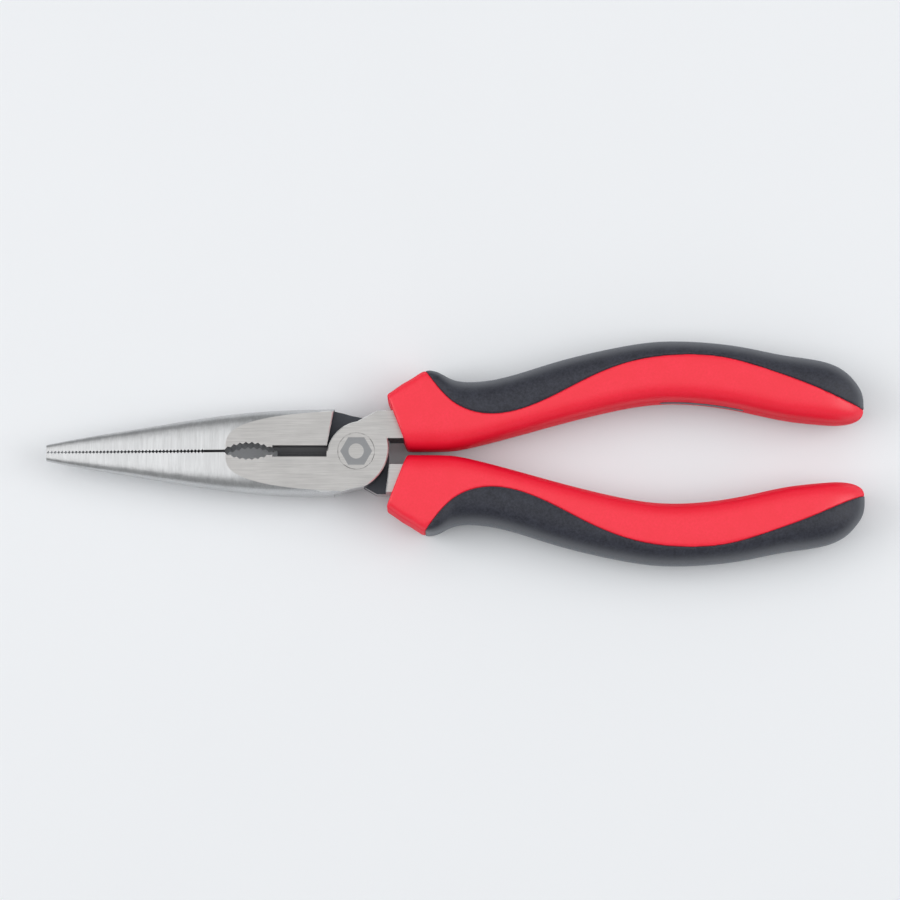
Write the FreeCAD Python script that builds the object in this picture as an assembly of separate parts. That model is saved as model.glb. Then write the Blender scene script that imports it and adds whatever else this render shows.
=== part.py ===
"""Needle nose pliers: two forged halves on a flush rivet, with moulded two-colour grips.

Sizes are in millimetres. The pliers lie flat and closed. X runs along the tool, from the
jaw tips (-X) to the butts of the grips (+X). Y is across it, Z is up out of the front face.
Everything is drawn about the middle of the head's thickness, where the two halves lap, and
is lifted by half that thickness when it is written, so Z = 0 is the rear ground face and
the origin lies on the rivet's axis.

The two halves are the same forging. The rear one is the front one turned half a turn
about X.
"""
import FreeCAD, Part
import math
import os

V = FreeCAD.Vector
X_AXIS = V(1, 0, 0)
ORIGIN = V(0, 0, 0)

# Overall sizes
TIP_X = -77.6
BUTT_X = 127.0
HEAD_THICKNESS = 10.4
FACE_Z = HEAD_THICKNESS / 2
LAP_GAP = 0.04
EDGE_BREAK = 0.25
SKIN_DEGREE = 3
FAR = 200.0

# Nose: half width at stations along X, and a straight taper in thickness
NOSE_STATIONS = [(TIP_X, 2.0), (-64.2, 4.5), (-44.2, 7.75), (-29.2, 9.8),
                 (-19.2, 10.55), (-10.0, 10.8), (0.0, 10.85)]
NOSE_TIP_HALF_THICKNESS = 1.4
NOSE_THICKNESS_SLOPE = 0.0844
NOSE_SQUARENESS = 3.7
NOSE_END_X = -2.6

# Lap joint: the boss of a half is bounded by two arcs
JAW_ARC = {"centre": (1.60, -1.39), "radius": 9.0}
TANG_ARC = {"centre": (-2.65, 0.86), "radius": 10.76}
FLANK_START_X = 0.2
FLANK_END_X = 5.2
TANG_INNER_Y = 3.27
TANG_OUTER_Y = 10.27
TANG_ROOT_X = 14.0
LOBE_START_X = 1.9
LOBE = [(-1.3, -9.5), (-3.15, -10.05), (-5.5, -10.6)]
JAW_SHOULDER = [(-7.6, 0.0), (-5.5, -10.9)]
TANG_SHOULDER = [(8.2, TANG_INNER_Y), (7.4, TANG_OUTER_Y)]

# Gripping faces, cutter and pipe grip, measured from the parting plane Y = 0
TOOTH_COUNT = 45
TOOTH_PITCH = 0.88
TOOTH_DEPTH = 0.36
TOOTH_CREST = 0.14
TIP_HALF_GAP = 0.015
HEEL_HALF_GAP = 0.15
RELIEF_DEPTH = 0.33
PIPE_CENTRE_X = -26.75
PIPE_HALF_LENGTH = 6.05
PIPE_DEPTH = 2.3
PIPE_END_DEPTH = 0.75
PIPE_TOOTH_COUNT = 8
PIPE_TOOTH_DEPTH = 0.5
CUTTER_START_X = -20.9
CUTTER_END_X = -7.36
CUTTER_SLOT_HALF_WIDTH = 1.42
BLADE_START_X = -19.8
BLADE_HALF_THICKNESS = 0.95
BLADE_HALF_GAP = 0.01
CLEAR_Y = 1.0

# Rivet
RIVET_RADIUS = 3.55
RIVET_HEAD_RADIUS = 4.6
RIVET_HEAD_DEPTH = 1.5
RUNNING_CLEARANCE = 0.05

# Tang: the steel core in each grip, (x, centre y, width, thickness)
TANG_SECTIONS = [(12.0, 6.77, 7.0, 10.4), (20.0, 8.0, 7.0, 8.6), (30.0, 9.95, 7.0, 7.0),
                 (45.0, 13.6, 6.8, 7.0), (60.0, 17.5, 6.5, 6.8), (78.0, 20.2, 6.2, 6.6),
                 (95.0, 18.9, 5.8, 6.2), (112.0, 15.8, 5.5, 6.0)]

# Grip: its thumb guard starts with a straight flank, then (x, inner y, outer y) of its outline.
# The flank's sections begin well ahead of the front cut, where the loft runs straight.
GUARD_INNER_Y = 0.6
GUARD_FLANK_X = [-8.0, -5.0, -2.0, 1.0, 4.0, 7.0, 10.0, 13.0, 15.5]
GUARD_FLANK_Y = 9.4
GUARD_FLANK_SLOPE = 0.645
GRIP_STATIONS = [(17.3, 0.6, 20.25), (19.2, 0.6, 20.3), (21.5, 0.65, 19.5), (24.5, 0.85, 18.3),
                 (28.2, 1.55, 17.9), (35.8, 3.45, 18.8), (47.0, 6.55, 22.1), (62.0, 10.4, 26.0),
                 (72.0, 12.3, 27.8), (81.0, 12.75, 28.25), (92.0, 11.7, 27.5),
                 (103.2, 9.4, 25.5), (112.0, 7.95, 24.05), (118.0, 7.4, 22.85),
                 (121.3, 7.35, 21.4), (124.2, 7.8, 19.0), (126.0, 8.65, 16.6),
                 (126.75, 9.6, 14.9), (BUTT_X, 10.6, 13.6)]
GRIP_HALF_THICKNESS = 8.0
BUTT_DOME_START_X = 110.0
BUTT_DOME_LENGTH = 17.2
BUTT_DOME_POWERS = (3, 0.455)
SMALLEST_HALF = 1.0
GUARD_END_X = 18.0
GUARD_BLEND = 7.0
GUARD_SQUARENESS = 7.0
OUTER_SQUARENESS = 2.6
INNER_SQUARENESS = 3.2
FRONT_SLOPE_LOW = (13.6, -1.5)
FRONT_SLOPE_HIGH = (-2.4, 40.0)
FRONT_WASTE_X = -20.0
FRONT_RIM_RADIUS = 0.35

# Overmould: where its edge runs over the faces, and how thick it is
SEAM = [(16.2, 21.6), (19.5, 17.0), (24.5, 11.9), (32.0, 9.25), (43.2, 11.1), (58.2, 18.4),
        (69.5, 22.6), (80.8, 24.1), (92.0, 23.4), (103.2, 20.2), (114.5, 16.0),
        (125.8, 11.2), (131.0, 9.6)]
OVERMOULD_THICKNESS = 2.4

# Inner pad
PAD_START_X = 76.0
PAD_END_X = 97.0
PAD_HALF_HEIGHT = 1.5
PAD_END_RADIUS = 1.45
PAD_REACH_Y = (5.0, 17.0)
PAD_DEPTH = 1.0


def prism(points, low_z, high_z):
    """A straight-sided outline in X and Y, extruded from low_z to high_z."""
    corners = [V(x, y, low_z) for x, y in points]
    face = Part.Face(Part.makePolygon(corners + corners[:1]))
    return face.extrude(V(0, 0, high_z - low_z))


def box(low, high):
    """A box between two opposite corners."""
    size = [b - a for a, b in zip(low, high)]
    return Part.makeBox(size[0], size[1], size[2], V(*low))


def arc_edge(arc, start, end, z):
    """The stretch of an arc between two of its points, at height z."""
    centre = V(*arc["centre"], z)
    first, last = V(*start, z), V(*end, z)
    outward = (first + last) / 2 - centre
    middle = centre + outward.normalize() * arc["radius"]
    return Part.Arc(first, middle, last).toShape()


def line_edges(points, z):
    """Straight edges from each point to the next, at height z."""
    return [Part.makeLine(V(*a, z), V(*b, z)) for a, b in zip(points, points[1:])]


def arc_y(arc, x, side):
    """Where an arc stands at x, on its upper (+1) or lower (-1) side."""
    centre_x, centre_y = arc["centre"]
    return centre_y + side * math.sqrt(arc["radius"] ** 2 - (x - centre_x) ** 2)


def arc_x(arc, y, side):
    """Where an arc stands at y, on its right (+1) or left (-1) side."""
    centre_x, centre_y = arc["centre"]
    return centre_x + side * math.sqrt(arc["radius"] ** 2 - (y - centre_y) ** 2)


def oval_wire(x, inner_y, outer_y, half_thickness, inner_power, outer_power, count=40):
    """A closed rounded section in the plane X = x, squarer the higher the powers are."""
    middle = (inner_y + outer_y) / 2
    points = []
    for index in range(count):
        angle = 2 * math.pi * index / count
        across, up = math.cos(angle), math.sin(angle)
        power = outer_power if across >= 0 else inner_power
        radius = (abs(across) ** power + abs(up) ** power) ** (-1 / power)
        reach = radius * across * (outer_y - inner_y) / 2
        points.append(V(x, middle + reach, radius * up * half_thickness))
    knots = [index / count for index in range(count + 1)]
    curve = Part.BSplineCurve()
    curve.interpolate(Points=points, PeriodicFlag=True, Parameters=knots)
    return Part.Wire(curve.toShape())


def loft(wires):
    """A solid whose skin runs smoothly through a row of sections."""
    return Part.makeLoft(wires, True, False, False, SKIN_DEGREE)


def nose():
    """The tapering nose of both jaws together, before the ground faces cut it."""
    wires = []
    for x, half_width in NOSE_STATIONS:
        half_thickness = NOSE_TIP_HALF_THICKNESS + NOSE_THICKNESS_SLOPE * (x - TIP_X)
        wires.append(oval_wire(x, -half_width, half_width, half_thickness,
                               NOSE_SQUARENESS, NOSE_SQUARENESS))
    return loft(wires)


def boss():
    """The lapped layer of a half: the jaw's front, the round boss and the tang's root."""
    low_z = LAP_GAP / 2
    start = (-FAR, 0.0)
    jaw_root = (arc_x(JAW_ARC, 0.0, -1), 0.0)
    flank_start = (FLANK_START_X, arc_y(JAW_ARC, FLANK_START_X, 1))
    tang = [(FLANK_END_X, TANG_OUTER_Y), (TANG_ROOT_X, TANG_OUTER_Y), (TANG_ROOT_X, TANG_INNER_Y)]
    tang_corner = (arc_x(TANG_ARC, TANG_INNER_Y, 1), TANG_INNER_Y)
    lobe_start = (LOBE_START_X, arc_y(TANG_ARC, LOBE_START_X, -1))
    end = (-FAR, LOBE[-1][1])

    edges = line_edges([start, jaw_root], low_z)
    edges.append(arc_edge(JAW_ARC, jaw_root, flank_start, low_z))
    edges += line_edges([flank_start] + tang + [tang_corner], low_z)
    edges.append(arc_edge(TANG_ARC, tang_corner, lobe_start, low_z))
    edges += line_edges([lobe_start] + LOBE + [end, start], low_z)
    layer = Part.Face(Part.Wire(edges)).extrude(V(0, 0, FACE_Z - low_z))
    rims = [edge for edge in layer.Edges if edge.BoundBox.ZMin > FACE_Z - 0.01
            and edge.BoundBox.XMin > JAW_SHOULDER[0][0] and edge.BoundBox.XMin < TANG_ROOT_X - 1]
    return layer.makeChamfer(EDGE_BREAK, rims)


def shouldered_block(shoulder, end_x):
    """A full-thickness block that ends at a shoulder, whose rear edge is broken."""
    (top_x, top_y), (low_x, low_y) = shoulder
    block = prism([(end_x, top_y), (top_x, top_y), (low_x, low_y), (end_x, low_y)],
                  -FACE_Z, FACE_Z)
    middle = V((top_x + low_x) / 2, (top_y + low_y) / 2, -FACE_Z)
    rim = min(block.Edges, key=lambda edge: edge.CenterOfMass.distanceToPoint(middle))
    return block.makeChamfer(EDGE_BREAK, [rim])


def tang_bar():
    """The core that carries the grip."""
    wires = []
    for x, centre_y, width, thickness in TANG_SECTIONS:
        half_width, half_height = width / 2, thickness / 2
        corners = [V(x, centre_y + a * half_width, b * half_height)
                   for a, b in ((-1, -1), (1, -1), (1, 1), (-1, 1))]
        wires.append(Part.makePolygon(corners + corners[:1]))
    return loft(wires)


def pipe_depth(x):
    """How far the roots of the pipe grip's teeth lie from the parting plane."""
    offset = (x - PIPE_CENTRE_X) / PIPE_HALF_LENGTH
    return PIPE_END_DEPTH + (PIPE_DEPTH - PIPE_END_DEPTH) * (1 - offset ** 2)


def jaw_face_profile():
    """The gripping face in X and Y: fine teeth, relief, pipe grip, then the cutter's land."""
    points = []
    heel_x = TIP_X + TOOTH_COUNT * TOOTH_PITCH
    for index in range(TOOTH_COUNT):
        x = TIP_X + index * TOOTH_PITCH
        gap = TIP_HALF_GAP + (HEEL_HALF_GAP - TIP_HALF_GAP) * index / TOOTH_COUNT
        points.append((x, -gap))
        points.append((x + TOOTH_CREST, -gap))
        points.append((x + (TOOTH_PITCH + TOOTH_CREST) / 2, -gap - TOOTH_DEPTH))
    points.append((heel_x, -HEEL_HALF_GAP))
    points.append((heel_x, -RELIEF_DEPTH))

    pipe_start = PIPE_CENTRE_X - PIPE_HALF_LENGTH
    pitch = 2 * PIPE_HALF_LENGTH / PIPE_TOOTH_COUNT
    for index in range(PIPE_TOOTH_COUNT):
        crest_x = pipe_start + index * pitch
        root_x = crest_x + pitch / 2
        crest = max(RELIEF_DEPTH, pipe_depth(crest_x) - PIPE_TOOTH_DEPTH)
        points.append((crest_x, -crest))
        points.append((root_x, -pipe_depth(root_x)))
    points.append((pipe_start + PIPE_TOOTH_COUNT * pitch, -PIPE_END_DEPTH))
    return points


def jaw_face_waste():
    """Everything a half loses along its gripping face and its wire cutter."""
    profile = jaw_face_profile()
    profile.append((BLADE_START_X, -PIPE_END_DEPTH))
    outline = [(TIP_X, CLEAR_Y)] + profile + [(BLADE_START_X, CLEAR_Y)]
    teeth = prism(outline, -FAR, FAR)

    wall = -CUTTER_SLOT_HALF_WIDTH
    corners = [(CLEAR_Y, -FAR), (wall, -FAR), (wall, -BLADE_HALF_THICKNESS),
               (-BLADE_HALF_GAP, 0.0), (wall, BLADE_HALF_THICKNESS), (wall, FAR), (CLEAR_Y, FAR)]
    section = [V(CUTTER_START_X, y, z) for y, z in corners]
    face = Part.Face(Part.makePolygon(section + section[:1]))
    slot = face.extrude(X_AXIS * (CUTTER_END_X - CUTTER_START_X))
    return teeth.fuse(slot)


def rivet(clearance=0.0):
    """The flush double-headed rivet, or the hole that clears it."""
    radius = RIVET_RADIUS + clearance
    head = RIVET_HEAD_RADIUS + clearance
    neck_z = FACE_Z - RIVET_HEAD_DEPTH
    profile = [V(0, 0, -FACE_Z), V(head, 0, -FACE_Z), V(radius, 0, -neck_z),
               V(radius, 0, neck_z), V(head, 0, FACE_Z), V(0, 0, FACE_Z)]
    face = Part.Face(Part.makePolygon(profile + profile[:1]))
    return face.revolve(ORIGIN, V(0, 0, 1), 360)


def plier_half(rivet_clearance):
    """The front half: its jaw is on -Y and its tang on +Y."""
    jaw = shouldered_block(JAW_SHOULDER, -FAR)
    tang = shouldered_block(TANG_SHOULDER, TANG_ROOT_X)
    blank = jaw.fuse([boss(), tang, tang_bar()])
    nose_space = box((-FAR, -FAR / 2, -FAR / 2), (NOSE_END_X, 0, FAR / 2))
    shaped = blank.cut(nose_space.cut(nose()))
    half = shaped.cut([jaw_face_waste(), rivet(rivet_clearance)])
    return half.removeSplitter()


def butt_share(x, length):
    """How far x lies into the butt's dome: 0 where the dome starts, 1 a length further on."""
    return max(0.0, (x - BUTT_DOME_START_X) / length)


def grip_half_thickness(x):
    """Even along the handle, then domed over the butt."""
    run = butt_share(x, BUTT_DOME_LENGTH)
    run_power, height_power = BUTT_DOME_POWERS
    return GRIP_HALF_THICKNESS * (1 - run ** run_power) ** height_power


def grip_envelope(inset=0.0):
    """The grip's outer shape, or the same shape drawn in by inset on every side."""
    flank = [(x, GUARD_INNER_Y, GUARD_FLANK_Y + GUARD_FLANK_SLOPE * x) for x in GUARD_FLANK_X]
    wires = []
    for x, inner_y, outer_y in flank + GRIP_STATIONS:
        blend = min(1.0, max(0.0, (x - GUARD_END_X) / GUARD_BLEND))
        outer_power = GUARD_SQUARENESS + (OUTER_SQUARENESS - GUARD_SQUARENESS) * blend
        half_thickness = grip_half_thickness(x)
        room = min((outer_y - inner_y) / 2, half_thickness) - SMALLEST_HALF
        inset_here = min(inset, room)
        drawn_x = x - inset * butt_share(x, BUTT_X - BUTT_DOME_START_X)
        wires.append(oval_wire(drawn_x, inner_y + inset_here, outer_y - inset_here,
                               half_thickness - inset_here, INNER_SQUARENESS, outer_power))
    return loft(wires)


def front_cut():
    """The waste ahead of the grip's sloping front end."""
    low, high = FRONT_SLOPE_LOW, FRONT_SLOPE_HIGH
    return prism([low, high, (FRONT_WASTE_X, high[1]), (FRONT_WASTE_X, low[1])], -FAR, FAR)


def on_front_slope(edge):
    """Whether an edge lies in the sloping front end."""
    (low_x, low_y), (high_x, high_y) = FRONT_SLOPE_LOW, FRONT_SLOPE_HIGH
    normal = V(high_y - low_y, low_x - high_x, 0).normalize()
    corners = [V(*vertex.Point) for vertex in edge.Vertexes] + [edge.CenterOfMass]
    return all(abs((corner - V(low_x, low_y, 0)).dot(normal)) < 0.01 for corner in corners)


def seam_side():
    """The space outboard of the overmould's edge."""
    curve = Part.BSplineCurve()
    curve.interpolate([V(x, y, -FAR) for x, y in SEAM])
    first, last = SEAM[0], SEAM[-1]
    edges = [curve.toShape()] + line_edges([last, (last[0], FAR), (first[0], FAR), first], -FAR)
    return Part.Face(Part.Wire(edges)).extrude(V(0, 0, 2 * FAR))


def pad_space():
    """A long round-ended block that passes through the handle's inner side."""
    low_y, high_y = PAD_REACH_Y
    block = box((PAD_START_X, low_y, -PAD_HALF_HEIGHT), (PAD_END_X, high_y, PAD_HALF_HEIGHT))
    ends = [edge for edge in block.Edges if edge.BoundBox.YLength > 1]
    return block.makeFillet(PAD_END_RADIUS, ends)


def grip(tang):
    """The grip on the +Y tang: its moulded body, its overmould and its inner pad."""
    outer = grip_envelope().cut(front_cut())
    rim = [edge for edge in outer.Edges if on_front_slope(edge)]
    outer = outer.makeFillet(FRONT_RIM_RADIUS, rim)
    shell = outer.cut(grip_envelope(OVERMOULD_THICKNESS))
    overmould = shell.common(seam_side())
    pad = outer.common(pad_space()).cut(grip_envelope(PAD_DEPTH))
    body = outer.cut([overmould, pad, tang])
    return body, overmould, pad


def turned(shape):
    """The same shape on the other half: half a turn about X."""
    copy = shape.copy()
    copy.rotate(ORIGIN, X_AXIS, 180)
    return copy


def save(name, shape):
    """Lift a piece to the row's frame and write it as one closed solid."""
    solid = shape.Solids[0] if len(shape.Solids) == 1 else None
    if solid is None:
        raise ValueError(f"{name} has {len(shape.Solids)} solids")
    solid = solid.copy()
    solid.translate(V(0, 0, FACE_Z))
    solid.exportStep(f"parts/{name}.step")


def main():
    os.makedirs("parts", exist_ok=True)
    front = plier_half(RUNNING_CLEARANCE)
    save("front_plier_half", front)
    save("rear_plier_half", turned(plier_half(0.0)))
    save("pivot_rivet", rivet())
    body, overmould, pad = grip(front)
    for side, place in (("upper", lambda shape: shape), ("lower", turned)):
        save(f"{side}_grip_body", place(body))
        save(f"{side}_grip_overmould", place(overmould))
        save(f"{side}_grip_inner_pad", place(pad))


main()
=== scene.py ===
"""Looks for the needle nose pliers: moulded grips, ground steel, a pale floor and soft light.

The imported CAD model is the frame. Lengths are in metres, and shaders work in millimetres of
the row frame: X along the tool, Y across it, Z out of the front face.
"""
import math

import bpy
from mathutils import Matrix, Vector


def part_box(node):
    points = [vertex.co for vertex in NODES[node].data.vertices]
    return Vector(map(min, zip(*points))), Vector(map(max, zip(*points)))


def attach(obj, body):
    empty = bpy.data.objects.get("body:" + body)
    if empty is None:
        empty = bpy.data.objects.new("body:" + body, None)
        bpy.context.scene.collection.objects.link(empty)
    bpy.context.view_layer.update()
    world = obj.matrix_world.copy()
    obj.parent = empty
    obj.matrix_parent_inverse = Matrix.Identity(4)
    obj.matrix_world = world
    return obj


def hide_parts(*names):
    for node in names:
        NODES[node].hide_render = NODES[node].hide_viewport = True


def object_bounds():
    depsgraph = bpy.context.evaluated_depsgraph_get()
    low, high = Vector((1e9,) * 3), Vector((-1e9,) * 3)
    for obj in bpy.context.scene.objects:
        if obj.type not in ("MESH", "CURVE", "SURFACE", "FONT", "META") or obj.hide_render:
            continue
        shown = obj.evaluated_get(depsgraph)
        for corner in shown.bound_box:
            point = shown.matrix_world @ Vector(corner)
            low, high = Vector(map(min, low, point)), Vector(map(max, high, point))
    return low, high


MM = 0.001

# Places and sizes that come from the frame
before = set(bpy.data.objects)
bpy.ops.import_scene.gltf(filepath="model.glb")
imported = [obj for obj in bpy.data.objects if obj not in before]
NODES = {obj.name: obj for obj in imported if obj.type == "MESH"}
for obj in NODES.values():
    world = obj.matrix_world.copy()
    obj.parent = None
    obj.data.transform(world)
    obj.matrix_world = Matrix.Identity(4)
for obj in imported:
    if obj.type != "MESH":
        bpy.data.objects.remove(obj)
CAD_LOW, CAD_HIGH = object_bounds()
CENTRE = (CAD_LOW + CAD_HIGH) / 2
LENGTH = CAD_HIGH.x - CAD_LOW.x
FACE_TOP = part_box("front_plier_half")[1].z
HEAD_WIDTH = 2 * -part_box("front_plier_half")[0].y
RIVET_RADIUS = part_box("pivot_rivet")[1].x
FLOOR_Z = CAD_LOW.z

# Where the finishes of a forging change
PIPE_GRIP_END_X = -0.95 * HEAD_WIDTH
BROKEN_EDGE_START_X = -0.4 * HEAD_WIDTH
CUTTER_END_X = -0.35 * HEAD_WIDTH
NOSE_END_X = -0.12 * HEAD_WIDTH
TIP_END_X = CAD_LOW.x + 1 * MM
SHOULDER_Y = 0.42 * HEAD_WIDTH
BROKEN_EDGE_HEIGHT = 0.45 * FACE_TOP
FLAT_HEIGHT = 0.49 * FACE_TOP

# What a part of a face's unit normal says about the face
LEVEL = 0.999  # Z beyond this: it lies flat
BROKEN_EDGE_TILT = (0.5, 0.9)  # Z between these: it may be a chamfer
LENGTHWISE = 0.9  # X beyond this: it stands across the tool
INWARD = -0.05  # Y away from the middle line, below this: it faces the other jaw

# The generic mark on the rivet and the hairline at its rim, in millimetres
NUT_HALF_WIDTH = 3.45
NUT_BORE_RADIUS = 1.9
MARK_BLUR = 0.06
HAIRLINE_INSIDE_RIM = (0.16, 0.06)

# Brushing on steel: its frequency per millimetre, and how far it changes the tone
SCRATCHES_ALONG = 0.10
SCRATCHES_ACROSS = 2.4
BAND_SCALE = 0.3
SCRATCH_SHARE = 0.55
BAND_SHARE = 0.25
CLOUD_SHARE = 0.2
DARKEST = 0.78
BRIGHTEST = 1.16

# How metallic the steel still looks where it is etched
ETCHED_METALLIC = 0.55

# Roughness, from the low to the high end of a texture
STEEL_ROUGHNESS = (0.40, 0.50)
OXIDE_ROUGHNESS = (0.42, 0.6)
RED_ROUGHNESS = (0.36, 0.46)
RUBBER_ROUGHNESS = (0.44, 0.60)

# Gloss of the mouldings, face-on and edge-on, and the spans of views over which looks change,
# among them the span over which the black rubber takes its painted sheen
RED_GLOSS = (0.75, 0.03)
RED_GLOSS_SPAN = (0.30, 0.75)
RUBBER_GLOSS = (0.5, 0.15)
RUBBER_GLOSS_SPAN = (0.35, 0.80)
# painted sheen: the views over which the black rubber's colour pales, standing in for its grazing
# reflection
RUBBER_PAINTED_SHEEN_SPAN = (0.08, 0.68)

# Spans of noise that a smooth step stretches over its whole range
WIDE = (0.25, 0.75)
MIDDLE = (0.3, 0.7)
NARROW = (0.4, 0.6)

# Colours, in linear light
FLAT_TONE = (0.665, 0.65, 0.635)
NOSE_TONE = (0.57, 0.575, 0.58)
TEETH_TONE = (0.48, 0.485, 0.50)
CUTTER_TONE = (0.29, 0.29, 0.30)
# the chamfers' pale tone is partly the steel's own polish and partly a painted highlight
BROKEN_EDGE_POLISH_AND_HIGHLIGHT_TONE = (0.85, 0.85, 0.84)
OXIDE_TONES = ((0.032, 0.035, 0.044), (0.090, 0.097, 0.116))
ETCHED_TONE = (0.31, 0.315, 0.325)
HAIRLINE_TONE = (0.16, 0.155, 0.15)
RED_TONES = ((0.93, 0.003, 0.027), (0.99, 0.008, 0.042))
RED_GLOW = (0.50, 0.12, 0.15)
RUBBER_TONES = ((0.002, 0.003, 0.010), (0.034, 0.037, 0.054))
# painted sheen: the pale grey the black rubber turns where it is seen edge-on
RUBBER_PAINTED_SHEEN_TONE = (0.095, 0.10, 0.115)
SHEEN_TONE = (0.85, 0.92, 1.0)
FLOOR_TONES = ((0.865, 0.88, 0.90), (0.88, 0.895, 0.915))
ROOM_TONE = (0.97, 0.985, 1.0)

# Studio
LIGHT_DISTANCE = 1.1
ROOM_STRENGTH = 0.385


# ---------------------------------------------------------------- shader building blocks

class Shader:
    """A material's node tree, with short ways to add and join nodes."""

    def __init__(self, name):
        self.material = bpy.data.materials.new(name)
        self.material.use_nodes = True
        self.tree = self.material.node_tree
        self.surface = self.tree.nodes["Principled BSDF"]
        coordinates = self.tree.nodes.new("ShaderNodeTexCoord")
        self.place = self.scaled(coordinates.outputs["Object"], (1 / MM,) * 3)

    def join(self, value, socket):
        """Put a number, a colour or another node's output into a socket."""
        if isinstance(value, bpy.types.NodeSocket):
            self.tree.links.new(value, socket)
        elif socket.type == "RGBA":
            socket.default_value = (*value, 1.0)
        else:
            socket.default_value = value

    def scaled(self, vector, factors):
        """A vector times a factor on each axis."""
        node = self.tree.nodes.new("ShaderNodeVectorMath")
        node.operation = "MULTIPLY"
        self.join(vector, node.inputs[0])
        node.inputs[1].default_value = factors
        return node.outputs["Vector"]

    def maths(self, operation, first, second=0.0):
        """One arithmetic step on one or two numbers."""
        node = self.tree.nodes.new("ShaderNodeMath")
        node.operation = operation
        self.join(first, node.inputs[0])
        self.join(second, node.inputs[1])
        return node.outputs[0]

    def noise(self, stretch, detail=3.0, roughness=0.5, offset=0.0):
        """Noise from 0 to 1. Stretch is its frequency per millimetre on each axis."""
        node = self.tree.nodes.new("ShaderNodeTexNoise")
        node.noise_dimensions = "4D"
        node.inputs["W"].default_value = offset
        node.inputs["Scale"].default_value = 1.0
        node.inputs["Detail"].default_value = detail
        node.inputs["Roughness"].default_value = roughness
        self.join(self.scaled(self.place, stretch), node.inputs["Vector"])
        return node.outputs["Fac"]

    def between(self, value, low, high, start=0.0, end=1.0):
        """A smooth step: start below low, end above high."""
        node = self.tree.nodes.new("ShaderNodeMapRange")
        node.interpolation_type = "SMOOTHSTEP"
        self.join(value, node.inputs["Value"])
        settings = {"From Min": low, "From Max": high, "To Min": start, "To Max": end}
        for name, setting in settings.items():
            node.inputs[name].default_value = setting
        return node.outputs["Result"]

    def mix(self, share, first, second):
        """Blend two colours."""
        node = self.tree.nodes.new("ShaderNodeMix")
        node.data_type = "RGBA"
        colours = [socket for socket in node.inputs if socket.type == "RGBA"]
        self.join(share, node.inputs["Factor"])
        self.join(first, colours[0])
        self.join(second, colours[1])
        return [socket for socket in node.outputs if socket.type == "RGBA"][0]

    def turned_with_piece(self, direction):
        """A fixed direction on the piece, turned as the piece turns."""
        node = self.tree.nodes.new("ShaderNodeVectorTransform")
        node.vector_type = "VECTOR"
        node.convert_from = "OBJECT"
        node.convert_to = "WORLD"
        node.inputs[0].default_value = direction
        return node.outputs[0]

    def axis(self, vector, index):
        """One part of a vector."""
        node = self.tree.nodes.new("ShaderNodeSeparateXYZ")
        self.join(vector, node.inputs[0])
        return node.outputs[index]

    def edge_on(self):
        """0 where the surface faces the viewer, rising to 1 where it is seen edge-on."""
        node = self.tree.nodes.new("ShaderNodeLayerWeight")
        node.inputs["Blend"].default_value = 0.5
        return node.outputs["Facing"]

    def lighting_others(self):
        """1 for rays that carry this surface's colour onto matt neighbours, otherwise 0."""
        node = self.tree.nodes.new("ShaderNodeLightPath")
        return node.outputs["Is Diffuse Ray"]

    def bump(self, height, depth_mm):
        """Raise the surface by height times depth."""
        node = self.tree.nodes.new("ShaderNodeBump")
        node.inputs["Strength"].default_value = 1.0
        node.inputs["Distance"].default_value = depth_mm * MM
        self.join(height, node.inputs["Height"])
        return node.outputs["Normal"]

    def set(self, **values):
        """Set inputs of the surface, written with underscores for spaces."""
        for name, value in values.items():
            self.join(value, self.surface.inputs[name.replace("_", " ")])


# ---------------------------------------------------------------- steel

def brushed_steel(shader, along, tone):
    """Fine scratches along one axis, with a faint cloudiness. Returns the colour."""
    streak = tuple(SCRATCHES_ALONG if axis == along else SCRATCHES_ACROSS for axis in "XYZ")
    broad = tuple(BAND_SCALE * part for part in streak)
    fine = shader.noise(streak, detail=4.0, roughness=0.7)
    bands = shader.noise(broad, detail=2.0, offset=7.0)
    cloud = shader.noise((0.15,) * 3, detail=2.0, offset=3.0)
    scratched = shader.maths("ADD", shader.between(fine, *WIDE, 0.0, SCRATCH_SHARE),
                             shader.between(bands, *MIDDLE, 0.0, BAND_SHARE))
    light = shader.maths("ADD", scratched, shader.between(cloud, *MIDDLE, 0.0, CLOUD_SHARE))
    dark_tone = tuple(DARKEST * part for part in tone)
    bright_tone = tuple(BRIGHTEST * part for part in tone)
    colour = shader.mix(light, dark_tone, bright_tone)
    glint_axis = (0.0, 1.0, 0.0) if along == "X" else (1.0, 0.0, 0.0)
    shader.set(Base_Color=colour,
               Metallic=1.0,
               Roughness=shader.between(bands, *WIDE, *STEEL_ROUGHNESS),
               Anisotropic=0.7,
               Tangent=shader.turned_with_piece(glint_axis),
               Normal=shader.bump(fine, depth_mm=0.006))
    return colour


def ground_steel(name, along, tone):
    """Bare steel, ground along one axis."""
    shader = Shader(name)
    brushed_steel(shader, along, tone)
    return shader.material


def rim_hairline(shader, radius):
    """Where the fine broken line at the rivet's rim shows."""
    rim = RIVET_RADIUS / MM
    start, end = HAIRLINE_INSIDE_RIM
    wander = shader.between(shader.noise((0.6,) * 3, offset=9.0), *NARROW)
    return shader.maths("MULTIPLY", shader.between(radius, rim - start, rim - end), wander)


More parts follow.
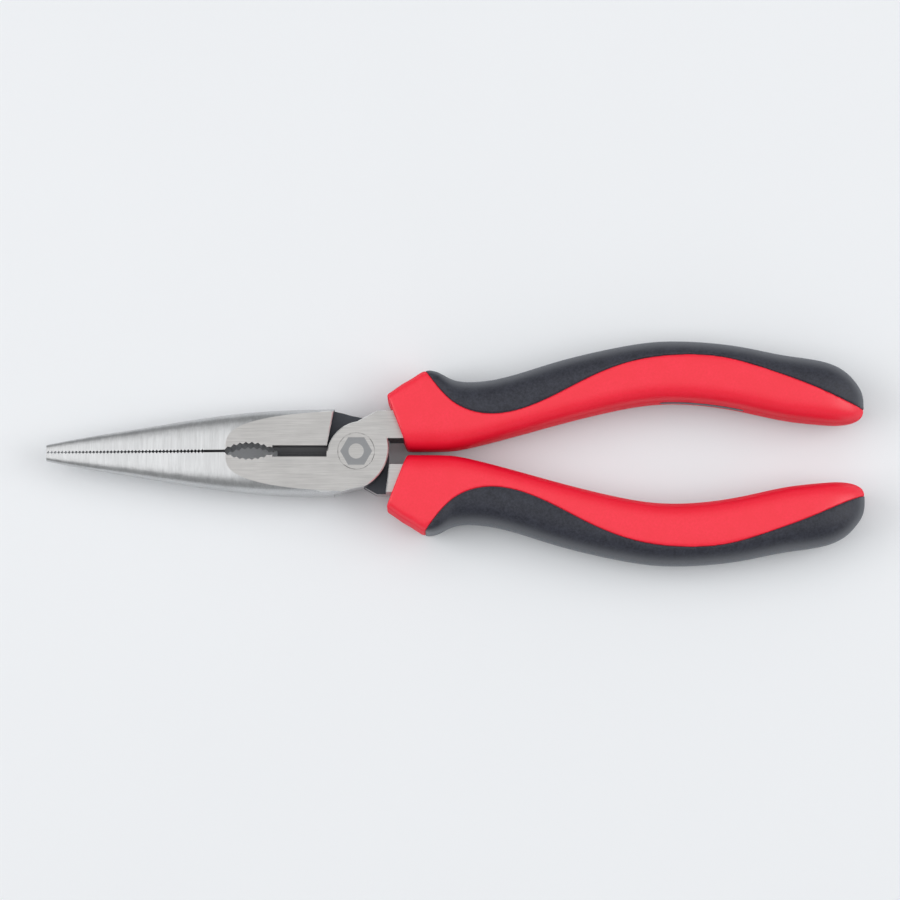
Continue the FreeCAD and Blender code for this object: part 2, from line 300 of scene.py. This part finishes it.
def nut_outline(shader, across, up, radius):
    """Where the hexagon with a round bore shows, seen along the rivet's axis."""
    cosine, sine = 0.5, math.sqrt(0.75)  # of a sixth of a turn
    reach = shader.maths("ABSOLUTE", up)
    for sign in (1, -1):
        lean = shader.maths("ADD", shader.maths("MULTIPLY", up, cosine),
                            shader.maths("MULTIPLY", across, sign * sine))
        reach = shader.maths("MAXIMUM", reach, shader.maths("ABSOLUTE", lean))
    nut = shader.between(reach, NUT_HALF_WIDTH - MARK_BLUR, NUT_HALF_WIDTH + MARK_BLUR, 1.0, 0.0)
    bore = shader.between(radius, NUT_BORE_RADIUS - MARK_BLUR, NUT_BORE_RADIUS + MARK_BLUR)
    return shader.maths("MULTIPLY", nut, bore)


def marked_steel(name, along, tone):
    """The rivet's ground head, with a hairline at its rim and a laser-etched nut outline."""
    shader = Shader(name)
    steel = brushed_steel(shader, along, tone)
    across, up, height = [shader.axis(shader.place, index) for index in range(3)]
    radius = shader.maths("SQRT", shader.maths("ADD", shader.maths("MULTIPLY", across, across),
                                               shader.maths("MULTIPLY", up, up)))
    front = shader.between(height, 0.0, FACE_TOP / MM)
    mark = shader.maths("MULTIPLY", nut_outline(shader, across, up, radius), front)
    etched = shader.mix(mark, steel, ETCHED_TONE)
    shader.set(Base_Color=shader.mix(rim_hairline(shader, radius), etched, HAIRLINE_TONE),
               Metallic=shader.between(mark, 0.0, 1.0, 1.0, ETCHED_METALLIC))
    return shader.material


def black_oxide():
    """The dark blue-black finish left in the lap, in the recesses and at the cutter's end."""
    shader = Shader("black_oxide")
    cloud = shader.noise((0.9,) * 3, detail=4.0)
    shader.set(Base_Color=shader.mix(cloud, *OXIDE_TONES),
               Metallic=0.3,
               Roughness=shader.between(cloud, *MIDDLE, *OXIDE_ROUGHNESS),
               Normal=shader.bump(cloud, depth_mm=0.02))
    return shader.material


# ---------------------------------------------------------------- mouldings

def moulded_red():
    """Satin red plastic with a fine moulded texture, that tints its surroundings only faintly."""
    shader = Shader("moulded_red")
    cloud = shader.noise((0.2, 0.25, 0.25))
    grain = shader.noise((1.8,) * 3, roughness=0.65, offset=5.0)
    speckle = shader.maths("MULTIPLY", shader.between(grain, *MIDDLE),
                           shader.between(cloud, 0.1, 0.7))
    seen = shader.mix(speckle, *RED_TONES)
    shader.set(Base_Color=shader.mix(shader.lighting_others(), seen, RED_GLOW),
               Roughness=shader.between(grain, *MIDDLE, *RED_ROUGHNESS),
               Specular_IOR_Level=shader.between(shader.edge_on(), *RED_GLOSS_SPAN, *RED_GLOSS),
               Normal=shader.bump(grain, depth_mm=0.020))
    return shader.material


def moulded_black():
    """Matt black rubber with a fine leathery grain, and a painted sheen that makes it paler where
    it is seen edge-on.
    """
    shader = Shader("moulded_black")
    cloud = shader.noise((0.35,) * 3, detail=4.0)
    grain = shader.noise((1.7,) * 3, detail=4.0, roughness=0.7, offset=2.0)
    grain_share, cloud_share = 0.75, 0.25
    mottle = shader.maths("ADD", shader.between(grain, *MIDDLE, 0.0, grain_share),
                          shader.between(cloud, *MIDDLE, 0.0, cloud_share))
    rubber = shader.mix(mottle, *RUBBER_TONES)
    edge_on = shader.edge_on()
    # painted sheen: the rubber's colour pales where it is seen edge-on, standing in for its
    # grazing reflection
    rim = shader.between(edge_on, *RUBBER_PAINTED_SHEEN_SPAN)
    shader.set(Base_Color=shader.mix(rim, rubber, RUBBER_PAINTED_SHEEN_TONE),
               Roughness=shader.between(grain, *MIDDLE, *RUBBER_ROUGHNESS),
               Specular_IOR_Level=shader.between(edge_on, *RUBBER_GLOSS_SPAN, *RUBBER_GLOSS),
               Normal=shader.bump(grain, depth_mm=0.040),
               Sheen_Weight=0.15,
               Sheen_Roughness=0.4,
               Sheen_Tint=SHEEN_TONE)
    return shader.material


def moulded_copy(node, name, body, voxel, passes):
    """A finely meshed copy of a CAD grip piece, its edges eased as a moulding's are."""
    source = NODES[node]
    piece = bpy.data.objects.new(name, source.data.copy())
    bpy.context.scene.collection.objects.link(piece)
    weld = piece.modifiers.new("weld", "WELD")
    weld.merge_threshold = 0.001 * MM
    remesh = piece.modifiers.new("remesh", "REMESH")
    remesh.mode = "VOXEL"
    remesh.voxel_size = voxel
    remesh.use_smooth_shade = True
    smooth = piece.modifiers.new("smooth", "SMOOTH")
    smooth.factor = 0.5
    smooth.iterations = passes
    bpy.context.view_layer.update()
    graph = bpy.context.evaluated_depsgraph_get()
    mesh = bpy.data.meshes.new_from_object(piece.evaluated_get(graph))
    piece.modifiers.clear()
    piece.data = mesh
    mesh.materials.clear()
    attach(piece, body)
    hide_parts(node)
    return piece


def grip(side, body, red, black):
    """One handle's three moulded pieces."""
    shell = moulded_copy(f"{side}_grip_body", f"{side}_red_moulding", body, 0.36 * MM, 3)
    skin = moulded_copy(f"{side}_grip_overmould", f"{side}_black_overmould", body, 0.34 * MM, 3)
    pad = moulded_copy(f"{side}_grip_inner_pad", f"{side}_black_inlay", body, 0.15 * MM, 4)
    coats = ((shell, red, "red_grip"), (skin, black, "black_grip"), (pad, black, "black_grip"))
    for piece, material, slot in coats:
        piece.data.materials.append(material)


# ---------------------------------------------------------------- forgings

def is_broken_edge(centre, normal, height):
    """Whether a face is a narrow chamfer at the rim of a ground flat."""
    low, high = BROKEN_EDGE_TILT
    near_rim = centre.x > BROKEN_EDGE_START_X and height > BROKEN_EDGE_HEIGHT
    return near_rim and low < abs(normal.z) < high


def forging_finish(centre, normal):
    """Which finish a face of a forging has."""
    height = abs(centre.z - FACE_TOP / 2)
    if abs(normal.z) > LEVEL:
        return "flat" if height > FLAT_HEIGHT else "black"
    if is_broken_edge(centre, normal, height):
        return "broken_edge"
    if centre.x >= NOSE_END_X:
        return "nose" if abs(centre.y) > SHOULDER_Y else "black"
    side = 1 if centre.y > 0 else -1
    faces_other_jaw = normal.y * side < INWARD
    faces_along = abs(normal.x) > LENGTHWISE and centre.x > TIP_END_X
    if not (faces_other_jaw or faces_along):
        return "nose"
    if centre.x < PIPE_GRIP_END_X:
        return "teeth"
    return "cutter" if centre.x < CUTTER_END_X else "black"


def finish_forging(node, finishes):
    """Give each face of a forging its own finish."""
    mesh = node.data
    mesh.materials.clear()
    for material in finishes.values():
        mesh.materials.append(material)
    slots = list(finishes)
    for face in mesh.polygons:
        face.material_index = slots.index(forging_finish(face.center, face.normal))


def forgings():
    """The steel finishes of both halves and the rivet, which keep their CAD meshes."""
    finishes = {"flat": ground_steel("ground_flats", "X", FLAT_TONE),
                "nose": ground_steel("ground_nose", "Y", NOSE_TONE),
                "teeth": ground_steel("cut_teeth", "X", TEETH_TONE),
                "cutter": ground_steel("cutter_walls", "X", CUTTER_TONE),
                "black": black_oxide(),
                # chamfers: partly polished steel, partly a painted highlight
                "broken_edge": ground_steel("broken_edges_polish_and_highlight", "X", BROKEN_EDGE_POLISH_AND_HIGHLIGHT_TONE)}
    for half in ("front_plier_half", "rear_plier_half"):
        finish_forging(NODES[half], finishes)
    rivet = NODES["pivot_rivet"].data
    rivet.materials.clear()
    rivet.materials.append(marked_steel("ground_rivet", "X", FLAT_TONE))


# ---------------------------------------------------------------- studio

def floor():
    """A broad pale sheet under the tool."""
    reach = 8 * LENGTH
    mesh = bpy.data.meshes.new("floor")
    corners = [(-reach, -reach, 0), (reach, -reach, 0), (reach, reach, 0), (-reach, reach, 0)]
    mesh.from_pydata(corners, [], [(0, 1, 2, 3)])
    sheet = bpy.data.objects.new("floor", mesh)
    sheet.location = (CENTRE.x, CENTRE.y, FLOOR_Z)
    bpy.context.scene.collection.objects.link(sheet)
    shader = Shader("pale_sheet")
    cloud = shader.noise((0.02,) * 3)
    shader.set(Base_Color=shader.mix(cloud, *FLOOR_TONES),
               Roughness=0.75,
               Specular_IOR_Level=0.2)
    mesh.materials.append(shader.material)


def softbox(name, direction, size, watts):
    """A square area light that looks at the middle of the tool."""
    light = bpy.data.lights.new(name, "AREA")
    light.shape = "SQUARE"
    light.size = size
    light.energy = watts
    lamp = bpy.data.objects.new(name, light)
    towards = Vector(direction).normalized()
    lamp.location = CENTRE + towards * LIGHT_DISTANCE
    lamp.rotation_mode = "QUATERNION"
    lamp.rotation_quaternion = towards.to_track_quat("Z", "Y")
    bpy.context.scene.collection.objects.link(lamp)


def lights():
    """One broad light overhead and a smaller one at each end of the tool."""
    softbox("overhead", (0.0, 0.16, 1.0), size=1.6, watts=4.6)
    for name, end in (("left_side", -1.0), ("right_side", 1.0)):
        softbox(name, (end, 0.02, 0.8), size=0.8, watts=4.2)


def room():
    """An even pale surround."""
    world = bpy.data.worlds.new("room")
    world.use_nodes = True
    background = world.node_tree.nodes["Background"]
    background.inputs["Color"].default_value = (*ROOM_TONE, 1.0)
    background.inputs["Strength"].default_value = ROOM_STRENGTH
    bpy.context.scene.world = world


def camera():
    """A long lens almost straight above, leaning a little towards the lower handle."""
    lean = math.radians(7.2)
    roll = math.radians(0.05)
    distance = 5.0 * LENGTH
    view_width = 1.102 * LENGTH
    off_centre = Vector((-0.0064 * LENGTH, 0.0045 * LENGTH, 0))
    lens = bpy.data.cameras.new("camera")
    lens.sensor_width = 36.0
    lens.lens = lens.sensor_width * distance / view_width
    lens.clip_start = 0.01
    lens.clip_end = 20.0
    holder = bpy.data.objects.new("camera", lens)
    back = Vector((0, -math.sin(lean), math.cos(lean)))
    aim = Matrix.Rotation(lean, 4, "X") @ Matrix.Rotation(roll, 4, "Z")
    place = CENTRE + off_centre + back * distance
    holder.matrix_world = Matrix.Translation(place) @ aim
    bpy.context.scene.collection.objects.link(holder)
    bpy.context.scene.camera = holder


def main():
    """Everything around the frame: grips, steel, floor, lights, room and camera."""
    red = moulded_red()
    black = moulded_black()
    grip("upper", "front_half", red, black)
    grip("lower", "rear_half", red, black)
    forgings()
    floor()
    lights()
    room()
    camera()
    bpy.context.scene.view_settings.view_transform = "Standard"


main()
